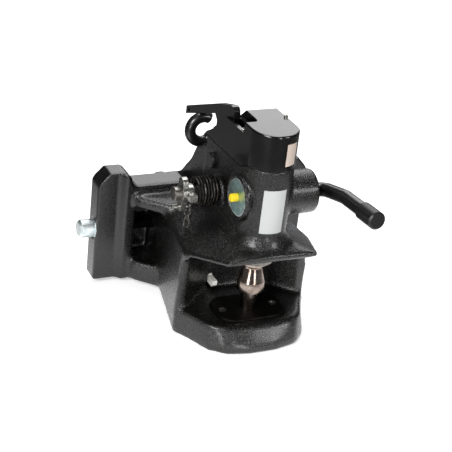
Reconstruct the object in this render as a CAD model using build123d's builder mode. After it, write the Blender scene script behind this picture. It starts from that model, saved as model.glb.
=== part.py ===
from build123d import *
import math
import os

os.makedirs("parts", exist_ok=True)

# Frame: the coupling pin stands on the Z axis, its belt is at Z = 0, the mouth opens towards -Y,
# the tractor is on the +Y side, and -X is the side with the torsion spring.

# Slide-in plate that runs in the tractor's ladder frame
plate_width = 311.0
plate_bottom = -73.0
column_top = 85.0
plate_top = 66.0
column_corner_x = 14.9
column_corner_z = 16.8
tongue_front = 160.0
tongue_back = 190.0
tongue_edge = 1.5
block_half = 125.0
block_front = 153.0
block_back = 190.0
block_step = 6.5
hump_end_x = 121.0
shoulder_run = 21.0
pocket_in_x = 72.0
pocket_out_x = 104.0
pocket_half_height = 42.0
pocket_depth = 31.0
pocket_corner = 9.0

# Gussets between the plate and the neck
gusset_tip_x = 106.0
gusset_tip_y = 146.0
gusset_root_x = 70.0
gusset_root_y = 112.0
upper_gusset_bottom = 37.0
upper_gusset_top = 55.0
gusset_corner = 9.0
gusset_round = 6.0

# Jaw: neck and walls, seen in sections across the travel direction
neck_bottom_half = 70.0
neck_bottom = -71.0
neck_side_half = 71.0
neck_side_top = 40.0
neck_roof_half = 46.0
neck_roof = 62.0
throat_y = 62.0
throat_bottom_half = 87.0
throat_side_half = 84.0
roof_half = 34.0
roof_top = 67.0
wall_front = 20.0
wall_bottom_half = 95.0
wall_side_half = 90.5
wall_side_top = 37.0
jaw_bottom = -80.0
jaw_floor = -45.0
mouth_roof = 36.0
mouth_half = 82.0
mouth_back = 60.0
mouth_back_half = 40.0
mouth_back_corner = 24.0

# Upper lip, a flared hood
hood_front = -54.0
hood_half = 61.0
hood_rim_bottom = 50.0
hood_rim_top = 60.5
hood_crown_half = 40.0
hood_skirt = 26.0
hood_flare_start = 4.0
hood_underside_front = 51.0

# Lower lip
lip_rim_top = -70.0
lip_corner_x = 50.0
lip_corner_y = -52.0
lip_side_x = 68.0
lip_side_y = -34.0
lip_nose_x = 20.0
lip_nose_y = -58.5
lip_inner_nose_y = -41.0
lip_inner_corner_y = -39.5
lip_inner_side_x = 65.0
lip_inner_side_y = -27.0
lip_round = 14.0

# Tower
tower_half = 31.0
tower_nose_y = -8.4
tower_back = 110.0
tower_wall = 5.5
tower_floor = 60.0
parting_side = 157.0
parting_front = 167.0
parting_slope_back = 9.5
parting_slope_front = -12.0
hump_width = 58.0
foot_flare = 9.0
foot_height = 16.0
parting_reach = 60.0

# Coupling pin and its bushes
pin_radius = 19.0
pin_waist_radius = 12.5
pin_neck_radius = 12.0
pin_tip_radius = 9.5
pin_bottom = -56.0
pin_neck_bottom = -40.0
pin_belt_bottom = -15.0
pin_belt_top = -1.0
pin_waist_z = 18.0
pin_waist_height = 1.5
pin_crown = 0.8
pin_guide_bottom = 25.0
pin_top = 92.0
pin_tip_chamfer = 2.5
running_gap = 0.05
bush_wall = 6.0
upper_bush_bottom = 30.0
upper_bush_top = 68.0
lower_bush_bottom = -72.0
lower_bush_wall = 7.0
press_gap = 0.02

# Wear plate on the jaw floor
wear_half_x = 47.0
wear_half_y = 31.0
wear_thickness = 5.0
wear_proud = 2.5
wear_corner = 22.0
wear_screw_x = 36.0
wear_screw_radius = 3.0
wear_screw_head = 5.6
wear_screw_length = 18.0
wear_sink_deg = 82.0
socket_depth = 1.2

# Lifting shaft with its finger, behind the pin
lift_y = 60.0
lift_z = 100.0
lift_radius = 9.0
lift_waist_radius = 7.0
lift_left_end = -94.0
lift_right_end = 33.0
finger_reach = 70.0
finger_rest_deg = -25.4
finger_end_deg = 50.5
finger_half = 7.0
finger_tip_radius = 7.0
finger_hub_radius = 16.0
finger_root_inset = 3.0
finger_middle_half = 8.0
finger_taper = 9.0
finger_slim_half = 5.0
hub_left = -13.5
hub_right = 19.5
window_low = 62.6
window_high = 81.4
window_half = 7.6
window_ramp_y = 8.5
window_ramp_drop = 10.6
window_flare_y = 4.0
window_flare_rise = 8.0
lift_bush_radius = 12.5
lift_boss_radius = 17.0
lift_boss_x = 35.5

# Drag link between the hand shaft and the lifting shaft
link_arm = 18.0
link_eye_radius = 6.0
link_left = 20.4
link_right = 25.0
link_pin_radius = 3.0
link_pin_gap = 0.05
link_half_height = 4.0
ear_left = 13.5
ear_radius = 7.5

# Hand lever and its shaft
hand_z = 118.7
hand_boss_radius = 27.9
hand_boss_end = 67.8
hand_boss_root = 8.0
hand_shaft_radius = 11.0
hand_bush_wall = 4.0
crank_disc_left = 26.0
crank_disc_right = 32.0
crank_disc_radius = 24.0
crank_room_radius = 25.0
crank_room_end = 34.0
seal_thickness = 4.0
seal_radius = 16.5
hand_shaft_end = 74.0
crank_spigot = 7.0
lever_bar_radius = 9.2
lever_bend_x = 87.0
lever_bend_radius = 14.0
lever_tip_y = -128.0
lever_tip_z = 140.5
grip_radius = 11.3
grip_length = 36.0
grip_bore_depth = 28.0
grip_corner = 4.0

# Indicator disc and control pin
disc_radius = 24.2
disc_thickness = 2.6
disc_recess = 1.2
disc_boss_radius = 28.6
disc_boss_x = 36.0
control_radius = 5.3
control_out_x = 44.0
control_in_x = 28.2
control_collar_radius = 7.5
control_collar_left = 32.0
control_collar_right = 29.6
control_gap = 0.06

# Remote lever on its cross pin
cross_y = 85.0
cross_z = 130.0
cross_radius = 6.0
cross_head_radius = 10.6
cross_head_x = 36.0
cross_tail_x = 35.0
ring_width = 1.6
remote_left = -25.0
remote_right = -16.0
remote_hub_radius = 12.0
remote_top_y = 64.0
remote_top_z = 214.0
remote_bend_y = 98.0
remote_bend_z = 203.0
remote_end_y = 195.0
remote_end_z = 161.0
remote_bar_depth = 11.5
remote_hole_radius = 3.2
remote_hole_y = 186.0
remote_hole_z = 158.5
dog_radius = 13.0
dog_pin_radius = 3.0
dog_slot_half = 5.2
dog_slot_near = 22.0
nose_reach = 31.2
nose_half = 10.5

# Cover on the tower
cover_top = 214.0
cover_wall = 5.5
cover_roof = 4.0
cover_back = 46.0
cover_slope_y = 108.0
cover_slope_z = 160.0
cover_notch_right = -12.0
cover_notch_front = 10.0
cover_notch_floor = 200.0
cover_gap = 0.1
cover_edge = 2.5
cover_slot_gap = 0.7
cover_screw_x = 28.3
cover_screw_front = 17.0
cover_screw_back = 96.0
cover_screw_radius = 1.6
cover_screw_head = 2.6
cover_screw_depth = 20.0

# Torsion spring, clamp and hanging chain on the lifting shaft
coil_wire = 1.9
coil_mean_radius = 17.8
coil_start_x = -38.0
coil_pitch = 4.05
coil_turns = 6.5
coil_corners = 20
wire_sides = 8
small_coil_corners = 12
clamp_left = -84.0
clamp_plate_right = -77.0
clamp_radius = 12.0
clamp_lobe_z = 114.0
clamp_lobe_radius = 8.0
clamp_low_z = 81.0
clamp_low_radius = 6.0
clamp_gap = 0.02
clamp_hub_right = -69.0
clamp_screw_radius = 2.5
spring_leg = 12.0
block_side = 10.0
block_depth = 7.0
stop_radius = 3.5
stop_left = -94.0
stop_right = -68.5
chain_x = -71.0
chain_wire = 1.0
chain_ring = 6.0
chain_link = 4.2
chain_gap = 0.3
clip_half = 3.6
clip_length = 14.0

# Locking pins and their slider in the plate
lock_y = 175.0
lock_radius = 12.5
lock_guide_radius = 13.0
lock_guide_inset = 1.0
lock_relief_radius = 12.0
lock_relief_proud = 2.0
lock_proud = 20.0
lock_travel = 20.0
lock_shoulder_inset = 4.0
lock_stem_radius = 7.5
lock_stem_margin = 8.0
lock_chamfer = 3.0
lock_gap = 0.06
lock_run_out = 2.0
stud_inset = 13.0
stud_radius = 4.0
stud_end = 189.2
slider_side_gap = 3.0
slider_front = 183.0
slider_thickness = 6.5
slider_top = 30.0
slider_bottom = -30.0
slot_half = 4.2
rod_x = 20.0
rod_y = 185.0
rod_radius = 3.5
rod_thread = 1.8
rod_top = 112.0
knob_radius = 11.0
knob_height = 12.0
chamber_front = 165.0
chamber_half = 43.0
chamber_top = 56.0
chamber_bottom = -42.0
lid_thickness = 5.0
lid_margin = 8.0
lid_gap = 0.2
lid_rim = 12.0
lid_screw_radius = 2.5
lid_screw_head = 3.6
lid_screw_length = 16.0
lid_screw_sink = 2.5
lock_coil_wire = 0.5
lock_coil_radius = 4.35
lock_coil_turns = 5.0

# Trigger in the throat
trigger_left = -30.0
trigger_right = -24.0
trigger_gap = 0.6
trigger_pivot_y = 70.0
trigger_pivot_z = -8.0
trigger_tip_y = 46.0
trigger_tip_high = -28.0
trigger_tip_low = -38.0
trigger_tip_slant = 4.0
trigger_slot_top = -25.5
trigger_pin_radius = 3.0
trigger_pin_reach = 10.0
trigger_hub = 6.5
trigger_room_back = 84.0
trigger_room_top = 6.0
trigger_coil_room = 8.0
trigger_coil_turns = 3.0
trigger_wire = 0.7

# Rope hook behind the tower
hook_bar_radius = 7.5
hook_y = 154.0
hook_x = -17.5
hook_z = 143.0
hook_radius = 17.5
hook_start_deg = 62.0
hook_bowl_deg = 225.0
hook_tail_radius = 9.0
hook_tail_deg = 95.0
hook_end_chamfer = 2.0

swing = finger_end_deg - finger_rest_deg
slider_half = chamber_half - slider_side_gap

lock_guide_end = plate_width / 2 - lock_guide_inset
lock_relief_end = plate_width / 2 + lock_relief_proud
lock_shoulder_x = pocket_out_x + lock_shoulder_inset
stud_x = chamber_half - stud_inset
lock_stem_end = stud_x - lock_stem_margin
lid_half = chamber_half + lid_margin
lid_low = chamber_bottom - lid_margin
lid_screw_places = [
    (x, z)
    for x in (-chamber_half - lid_margin / 2, chamber_half + lid_margin / 2)
    for z in (chamber_bottom + lid_margin, chamber_top - lid_margin)
]


def in_side_view(reach, degrees, y=lift_y, z=lift_z):
    """A point in the Y-Z plane, the angle counted from -Y upwards."""
    angle = math.radians(degrees)
    return (y - reach * math.cos(angle), z + reach * math.sin(angle))


def coil_points(turns, pitch, radius, corners, start, along):
    """Corners of a wire coil that starts at a point and runs along X or Z, with so many corners a turn."""
    points = []
    for step in range(round(turns * corners) + 1):
        angle = 2 * math.pi * step / corners
        advance = pitch * step / corners
        across = Vector(0, radius * math.cos(angle), radius * math.sin(angle))
        if along.X == 0:
            across = Vector(across.Y, across.Z, 0)
        points.append(start + along * advance + across)
    return points


def mirrored(points):
    """Close a half outline, given from the bottom up on +X, with its mirror image on -X."""
    return points + [(-x, z) for x, z in reversed(points)]


# Gussets between the plate and the neck
with BuildSketch() as gusset:
    Polygon(
        (-gusset_tip_x, block_front + 1),
        (-gusset_tip_x, gusset_tip_y),
        (-gusset_root_x, gusset_root_y),
        (gusset_root_x, gusset_root_y),
        (gusset_tip_x, gusset_tip_y),
        (gusset_tip_x, block_front + 1),
        align=None,
    )
    fillet(gusset.vertices().group_by(Axis.Y)[1], gusset_corner)
gusset_outline = gusset.sketch

with BuildPart() as upper_gusset:
    with BuildSketch(Plane.XY.offset(upper_gusset_bottom)):
        add(gusset_outline)
    extrude(amount=upper_gusset_top - upper_gusset_bottom)
    fillet(
        upper_gusset.edges().filter_by(Plane.XY).filter_by(lambda e: e.center().Y < block_front),
        gusset_round,
    )

# Body casting: plate, neck, jaw and tower in one piece
with BuildPart() as body_casting:
    with BuildSketch(Plane.XZ.offset(-tongue_back)):
        Polygon(
            *mirrored(
                [
                    (plate_width / 2, plate_bottom),
                    (plate_width / 2, column_top - column_corner_z),
                    (plate_width / 2 - column_corner_x, column_top),
                    (block_half - block_step, column_top),
                    (block_half - block_step, plate_bottom + block_step),
                ]
            ),
            align=None,
        )
    extrude(amount=tongue_back - tongue_front)
    chamfer(
        body_casting.edges()
        .filter_by(Axis.Z)
        .filter_by(lambda e: abs(abs(e.center().X) - plate_width / 2) < 1)
        .filter_by(lambda e: e.center().Y < tongue_front + 1),
        tongue_edge,
    )
    shoulder_drop = column_top - plate_top
    shoulder_turn = 2 * math.degrees(math.atan2(shoulder_drop, shoulder_run))
    shoulder_radius = shoulder_run / (2 * math.sin(math.radians(shoulder_turn)))
    with BuildSketch(Plane.XZ.offset(-block_back)) as block_profile:
        with BuildLine():
            Line((0, plate_bottom), (-block_half, plate_bottom))
            Line((-block_half, plate_bottom), (-block_half, column_top))
            Line((-block_half, column_top), (-hump_end_x, column_top))
            crest = JernArc((-hump_end_x, column_top), (1, 0), shoulder_radius, -shoulder_turn)
            foot = JernArc(crest @ 1, crest % 1, shoulder_radius, shoulder_turn)
            Line(foot @ 1, (0, plate_top))
            Line((0, plate_top), (0, plate_bottom))
        make_face()
        mirror(about=Plane.YZ)
    extrude(amount=block_back - block_front)
    chamfer(
        body_casting.edges()
        .filter_by(Axis.Z)
        .filter_by(lambda e: abs(abs(e.center().X) - block_half) < 1 and e.center().Y < block_front + 1),
        block_step,
    )
    with BuildSketch(Plane.XZ.offset(-block_front)):
        with Locations(
            (-(pocket_in_x + pocket_out_x) / 2, 0),
            ((pocket_in_x + pocket_out_x) / 2, 0),
        ):
            RectangleRounded(pocket_out_x - pocket_in_x, 2 * pocket_half_height, pocket_corner)
    extrude(amount=-pocket_depth, mode=Mode.SUBTRACT)
    with BuildSketch(Plane.XY.offset(plate_bottom)):
        add(gusset_outline)
    extrude(amount=-pocket_half_height - plate_bottom)
    add(upper_gusset.part)
    neck_root = (neck_bottom_half, neck_bottom, neck_side_half, neck_side_top, neck_roof_half, neck_roof)
    throat = (throat_bottom_half, jaw_bottom + 4, throat_side_half, wall_side_top + 3, roof_half, roof_top)
    neck_sections = (
        (block_front + 1, *neck_root),
        (throat_y, *throat),
        (wall_front, wall_bottom_half, jaw_bottom, wall_side_half, wall_side_top, roof_half, roof_top),
    )
    for y, low_half, low, side_half, side_top, top_half, top in neck_sections:
        with BuildSketch(Plane.XZ.offset(-y)):
            Polygon(*mirrored([(low_half, low), (side_half, side_top), (top_half, top)]), align=None)
    loft(ruled=True)
    with BuildSketch(Plane.XZ.offset(-wall_front)):
        Polygon(
            *mirrored([(wall_side_half, hood_skirt), (wall_side_half, wall_side_top), (roof_half, roof_top)]),
            align=None,
        )
    with BuildSketch(Plane.XZ.offset(-hood_front)):
        Polygon(
            *mirrored(
                [
                    (hood_half, hood_rim_bottom),
                    (hood_half, hood_rim_top - 2),
                    (hood_crown_half, hood_rim_top),
                ]
            ),
            align=None,
        )
    loft(ruled=True)
    lip_outer = [
        (wall_bottom_half, wall_front),
        (wall_bottom_half - 12, 0),
        (lip_side_x, lip_side_y),
        (lip_corner_x, lip_corner_y),
        (lip_nose_x, lip_nose_y),
    ]
    lip_inner = [
        (wall_side_half, wall_front),
        (wall_side_half - 11, 0),
        (lip_inner_side_x, lip_inner_side_y),
        (lip_corner_x, lip_inner_corner_y),
        (lip_nose_x, lip_inner_nose_y),
    ]
    with BuildSketch(Plane.XY.offset(jaw_bottom)) as lip_base:
        Polygon(*mirrored(lip_outer), align=None)
        fillet(lip_base.vertices().sort_by(Axis.Y)[:-2], lip_round)
    extrude(amount=lip_rim_top - jaw_bottom)
    with BuildSketch(Plane.XY.offset(lip_rim_top)) as lip_low:
        Polygon(*mirrored(lip_outer), align=None)
        fillet(lip_low.vertices().sort_by(Axis.Y)[:-2], lip_round)
    with BuildSketch(Plane.XY.offset(jaw_floor)) as lip_high:
        Polygon(*mirrored(lip_inner), align=None)
        fillet(lip_high.vertices().sort_by(Axis.Y)[:-2], lip_round)
    loft(ruled=True)
    with BuildSketch(Plane.XY.offset(jaw_floor)) as mouth:
        Polygon(
            (-mouth_half, wall_front - 2),
            (-mouth_back_half, mouth_back),
            (mouth_back_half, mouth_back),
            (mouth_half, wall_front - 2),
            (mouth_half + 40, 3 * hood_front / 2),
            (-mouth_half - 40, 3 * hood_front / 2),
            align=None,
        )
        fillet(mouth.vertices().group_by(Axis.Y)[-1], mouth_back_corner)
    extrude(amount=mouth_roof - jaw_floor, mode=Mode.SUBTRACT)
    with BuildSketch(Plane.YZ):
        Polygon(
            (hood_flare_start, mouth_roof - 1),
            (hood_flare_start, mouth_roof),
            (hood_front - 10, hood_underside_front + 2.5),
            (hood_front - 10, mouth_roof - 1),
            align=None,
        )
    extrude(amount=mouth_half + 40, both=True, mode=Mode.SUBTRACT)

    with BuildSketch(Plane.XY.offset(hood_rim_bottom + 3)):
        with Locations((0, (tower_nose_y + tower_back) / 2)):
            Rectangle(2 * tower_half, tower_back - tower_nose_y)
        with Locations((0, tower_nose_y)):
            Circle(tower_half)
    extrude(amount=parting_front - hood_rim_bottom - 3)
    with BuildSketch(Plane.XY.offset(neck_roof - 1)):
        with Locations((0, (tower_nose_y + tower_back) / 2)):
            Rectangle(2 * (tower_half + foot_flare), tower_back - tower_nose_y)
        with Locations((0, tower_nose_y)):
            Circle(tower_half + foot_flare)
    extrude(amount=foot_height, taper=math.degrees(math.atan2(foot_flare, foot_height)))
    with BuildSketch(Plane.YZ.offset(hump_width / 2)) as hump:
        Polygon(
            (tower_back - 1, parting_side - 12),
            (tower_back + 33, parting_side - 32),
            (tower_back + 46, parting_side - 55),
            (block_back - 8, plate_top + 7),
            (block_back, plate_top),
            (block_back, plate_top - 6),
            (tower_back - 1, plate_top - 6),
            align=None,
        )
        hump_bends = hump.vertices().filter_by_position(Axis.Y, tower_back + 10, block_back - 1)
        fillet(hump_bends.group_by(Axis.Z)[-2:], 6)
    extrude(amount=-hump_width)
    with BuildSketch(Plane.YZ.offset(hand_boss_root)):
        with Locations((0, hand_z)):
            Circle(hand_boss_radius)
    extrude(amount=hand_boss_end - hand_boss_root)
    with BuildSketch(Plane.YZ.offset(-tower_half + 1)):
        with Locations((0, hand_z)):
            Circle(disc_boss_radius)
    extrude(amount=tower_half - 1 - disc_boss_x)
    with BuildSketch(Plane.YZ.offset(-tower_half + 1)):
        with Locations((lift_y, lift_z)):
            Circle(lift_boss_radius)
    extrude(amount=tower_half - 1 - lift_boss_x)
    with BuildSketch(Plane.YZ.offset(tower_half - 1)):
        with Locations((lift_y, lift_z)):
            Circle(lift_boss_radius)
    extrude(amount=lift_boss_x - tower_half + 1)

    with BuildSketch(Plane.XY.offset(tower_floor)):
        with Locations((0, (tower_nose_y + tower_back - tower_wall - 1.5) / 2)):
            Rectangle(2 * (tower_half - tower_wall), tower_back - tower_nose_y - tower_wall - 1.5)
        with Locations((0, tower_nose_y)):
            Circle(tower_half - tower_wall)
    extrude(amount=parting_front - tower_floor, mode=Mode.SUBTRACT)
    with BuildSketch(Plane.YZ):
        Polygon(
            (tower_back + parting_reach, parting_side),
            (parting_slope_back, parting_side),
            (parting_slope_front, parting_front),
            (parting_slope_front, parting_front + 5),
            (tower_back + parting_reach, parting_front + 5),
            align=None,
        )
    extrude(amount=tower_half + 1, both=True, mode=Mode.SUBTRACT)
    with BuildSketch(Plane.XY.offset(jaw_bottom)):
        Circle(pin_tip_radius + lower_bush_wall)
    extrude(amount=jaw_floor - jaw_bottom, mode=Mode.SUBTRACT)
    with BuildSketch(Plane.XY.offset(mouth_roof - 1)):
        Circle(pin_radius + running_gap + bush_wall)
    extrude(amount=tower_floor - mouth_roof + 1, mode=Mode.SUBTRACT)
    with BuildSketch(Plane.YZ.offset(-disc_boss_x)):
        with Locations((0, hand_z)):
            Circle(disc_radius + cover_gap)
    extrude(amount=disc_recess + disc_thickness, mode=Mode.SUBTRACT)
    with BuildSketch(Plane.YZ.offset(-disc_boss_x)):
        with Locations((0, hand_z)):
            Circle(control_collar_radius + 1)
    extrude(amount=disc_boss_x, mode=Mode.SUBTRACT)
    with BuildSketch(Plane.YZ.offset(-lift_boss_x)):
        with Locations((lift_y, lift_z)):
            Circle(lift_bush_radius)
    extrude(amount=lift_boss_x, mode=Mode.SUBTRACT)
    with BuildSketch(Plane.YZ):
        with Locations((lift_y, lift_z)):
            Circle(lift_radius + running_gap)
    extrude(amount=lift_right_end + 0.5, mode=Mode.SUBTRACT)
    with BuildSketch(Plane.YZ):
        with Locations((0, hand_z)):
            Circle(crank_room_radius)
    extrude(amount=crank_room_end, mode=Mode.SUBTRACT)
    with BuildSketch(Plane.YZ):
        with Locations((0, hand_z)):
            Circle(hand_shaft_radius + hand_bush_wall)
    extrude(amount=hand_boss_end, mode=Mode.SUBTRACT)
    with BuildSketch(Plane.YZ.offset(hand_boss_end)):
        with Locations((0, hand_z)):
            Circle(seal_radius)
    extrude(amount=-seal_thickness, mode=Mode.SUBTRACT)
    with BuildSketch(Plane.YZ):
        with Locations((cross_y, cross_z)):
            Circle(cross_radius + running_gap)
    extrude(amount=tower_half + 1, both=True, mode=Mode.SUBTRACT)
    with BuildSketch(Plane.XY.offset(jaw_floor)):
        RectangleRounded(2 * wear_half_x + 0.4, 2 * wear_half_y + 0.4, wear_corner)
    extrude(amount=-(wear_thickness - wear_proud), mode=Mode.SUBTRACT)
    with BuildSketch(Plane.XY.offset(jaw_floor)):
        with Locations((-wear_screw_x, 0), (wear_screw_x, 0)):
            Circle(wear_screw_radius)
    extrude(amount=-wear_screw_length, mode=Mode.SUBTRACT)

    with BuildSketch(Plane.YZ):
        with Locations((lock_y, 0)):
            Circle(lock_stem_radius + lock_gap)
    extrude(amount=pocket_out_x, both=True, mode=Mode.SUBTRACT)
    for side in (-1, 1):
        guide_bore_start = lock_shoulder_x - lock_travel - lock_run_out
        with BuildSketch(Plane.YZ.offset(side * guide_bore_start)):
            with Locations((lock_y, 0)):
                Circle(lock_guide_radius + lock_gap)
        extrude(amount=side * (plate_width / 2 - guide_bore_start), mode=Mode.SUBTRACT)
    with BuildSketch(Plane.XZ.offset(-block_back)):
        with Locations((0, (chamber_top + chamber_bottom) / 2)):
            RectangleRounded(2 * chamber_half, chamber_top - chamber_bottom, pocket_corner)
    extrude(amount=block_back - chamber_front, mode=Mode.SUBTRACT)
    with BuildSketch(Plane.XZ.offset(-block_back)):
        with Locations(*lid_screw_places):
            Circle(lid_screw_radius)
    extrude(amount=lid_screw_length, mode=Mode.SUBTRACT)
    with BuildSketch(Plane.XZ.offset(-block_back)):
        with Locations((0, (plate_top + lid_low - lid_rim) / 2)):
            Rectangle(2 * (lid_half + lid_rim), plate_top - lid_low + lid_rim)
        with Locations((0, (plate_top + lid_low - lid_gap) / 2)):
            Rectangle(2 * (lid_half + lid_gap), plate_top - lid_low + lid_gap, mode=Mode.SUBTRACT)
    extrude(amount=-lid_thickness)
    with BuildSketch(Plane.XY.offset(chamber_top - 1)):
        with Locations((rod_x, rod_y)):
            Circle(rod_radius + running_gap)
    extrude(amount=rod_top - chamber_top, mode=Mode.SUBTRACT)
    trigger_room_front = trigger_pivot_y - trigger_hub - trigger_gap
    with BuildSketch(Plane.YZ.offset(trigger_left - trigger_coil_room)):
        Polygon(
            (trigger_room_front, jaw_floor),
            (trigger_room_front, trigger_room_top),
            (trigger_room_back, trigger_room_top),
            (trigger_room_back, jaw_floor),
            align=None,
        )
    extrude(amount=trigger_right - trigger_left + trigger_coil_room + trigger_gap, mode=Mode.SUBTRACT)
    with BuildSketch(Plane.YZ.offset(trigger_left - trigger_gap)):
        Polygon(
            (mouth_back - 1, jaw_floor),
            (mouth_back - 1, trigger_slot_top),
            (trigger_room_back, trigger_slot_top),
            (trigger_room_back, jaw_floor),
            align=None,
        )
    extrude(amount=trigger_right - trigger_left + 2 * trigger_gap, mode=Mode.SUBTRACT)
    with BuildSketch(Plane.YZ.offset(trigger_left - trigger_coil_room - trigger_pin_reach)):
        with Locations((trigger_pivot_y, trigger_pivot_z)):
            Circle(trigger_pin_radius)
    extrude(
        amount=trigger_right - trigger_left + trigger_coil_room + 2 * trigger_pin_reach,
        mode=Mode.SUBTRACT,
    )
    for y in (cover_screw_front, cover_screw_back):
        with BuildSketch(Plane.XY.offset(parting_side)):
            with Locations((-cover_screw_x, y), (cover_screw_x, y)):
                Circle(cover_screw_radius)
        extrude(amount=-cover_screw_depth, mode=Mode.SUBTRACT)
body_casting.part.label = "body_casting"
export_step(body_casting.part, "parts/body_casting.step")


# Cover on the tower
with BuildPart() as cover_hollow:
    with BuildSketch(Plane.YZ.offset(-(tower_half - cover_wall))):
        Polygon(
            (tower_nose_y - tower_half, parting_side - 5),
            (tower_nose_y - tower_half, cover_top - cover_roof),
            (cover_back - 1.5, cover_top - cover_roof),
            (tower_back - tower_wall - 1.5, cover_slope_z - 1),
            (tower_back - tower_wall - 1.5, parting_side - 5),
            align=None,
        )
    extrude(amount=2 * (tower_half - cover_wall))
    with BuildSketch(Plane.XY.offset(parting_side - 5)):
        with Locations((0, (tower_nose_y + tower_back) / 2)):
            Rectangle(2 * tower_half, tower_back - tower_nose_y)
        with Locations((0, tower_nose_y)):
            Circle(tower_half - cover_wall)
    extrude(amount=cover_top - parting_side, mode=Mode.INTERSECT)
    with BuildSketch(Plane.XY.offset(cover_notch_floor - cover_roof)):
        Polygon(
            (-tower_half, tower_nose_y - tower_half),
            (cover_notch_right + cover_roof, tower_nose_y - tower_half),
            (cover_notch_right + cover_roof, tower_back),
            (-tower_half, tower_back),
            align=None,
        )
    extrude(amount=cover_top - cover_notch_floor + cover_roof, mode=Mode.SUBTRACT)

with BuildPart() as tower_cover:
    with BuildSketch(Plane.XY.offset(parting_side + cover_gap)):
        with Locations((0, (tower_nose_y + tower_back) / 2)):
            Rectangle(2 * tower_half, tower_back - tower_nose_y)
        with Locations((0, tower_nose_y)):
            Circle(tower_half)
    extrude(amount=cover_top - parting_side - cover_gap)
    with BuildSketch(Plane.YZ):
        Polygon(
            (cover_back, cover_top),
            (cover_slope_y, cover_slope_z),
            (tower_back + 1, cover_slope_z),
            (tower_back + 1, cover_top + 1),
            (cover_back, cover_top + 1),
            align=None,
        )
    extrude(amount=tower_half + 1, both=True, mode=Mode.SUBTRACT)
    fillet(tower_cover.faces().filter_by(Plane.XY).sort_by(Axis.Z)[-1].edges(), cover_edge)
    with BuildSketch(Plane.YZ):
        Polygon(
            (parting_slope_back, parting_side + cover_gap),
            (parting_slope_front, parting_front + cover_gap),
            (tower_nose_y - tower_half - 1, parting_front + cover_gap),
            (tower_nose_y - tower_half - 1, parting_side),
            (parting_slope_back, parting_side),
            align=None,
        )
    extrude(amount=tower_half + 1, both=True, mode=Mode.SUBTRACT)
    with BuildSketch(Plane.XY.offset(cover_notch_floor)) as notch:
        Polygon(
            (cover_notch_right, tower_back),
            (cover_notch_right, cover_notch_front),
            (-tower_half - 2, cover_notch_front),
            (-tower_half - 2, tower_back),
            align=None,
        )
        fillet(notch.vertices().group_by(Axis.Y)[0].sort_by(Axis.X)[-1], 2 * cover_edge + 2)
    extrude(amount=cover_top - cover_notch_floor + 1, mode=Mode.SUBTRACT)
    add(cover_hollow.part, mode=Mode.SUBTRACT)
    with BuildSketch(Plane.XY.offset(parting_side + 3)):
        with Locations(((remote_left + remote_right) / 2, (cover_notch_front + tower_back) / 2)):
            Rectangle(remote_right - remote_left + 2 * cover_slot_gap, tower_back - cover_notch_front)
    extrude(amount=cover_top - parting_side, mode=Mode.SUBTRACT)
    with BuildSketch(Plane.XY.offset(cover_slope_z + 4)):
        with Locations((-cover_screw_x, cover_screw_back), (cover_screw_x, cover_screw_back)):
            Circle(cover_screw_head + 0.3)
    extrude(amount=cover_top - cover_slope_z, mode=Mode.SUBTRACT)
    for y in (cover_screw_front, cover_screw_back):
        with BuildSketch(Plane.XY.offset(parting_side)):
            with Locations((-cover_screw_x, y), (cover_screw_x, y)):
                Circle(cover_screw_radius)
        extrude(amount=cover_top - parting_side, mode=Mode.SUBTRACT)
tower_cover.part.label = "tower_cover"
export_step(tower_cover.part, "parts/tower_cover.step")

# Four screws of the cover, at three heights
with BuildPart() as cover_screws:
    for x, y, seat in (
        (-cover_screw_x, cover_screw_front, cover_notch_floor),
        (cover_screw_x, cover_screw_front, cover_top),
        (-cover_screw_x, cover_screw_back, cover_slope_z + 4),
        (cover_screw_x, cover_screw_back, cover_slope_z + 4),
    ):
        with BuildSketch(Plane.XY.offset(parting_side - cover_screw_depth + 1)):
            with Locations((x, y)):
                Circle(cover_screw_radius)
        extrude(amount=seat - parting_side + cover_screw_depth - 1)
        with BuildSketch(Plane.XY.offset(seat)):
            with Locations((x, y)):
                Circle(cover_screw_head)
                RegularPolygon(cover_screw_radius, 6, mode=Mode.SUBTRACT)
        extrude(amount=cover_screw_head)
        with BuildSketch(Plane.XY.offset(seat)):
            with Locations((x, y)):
                Circle(cover_screw_head)
        extrude(amount=cover_screw_head / 2)
cover_screws.part.label = "cover_screws"
export_step(cover_screws.part, "parts/cover_screws.step")

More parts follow.
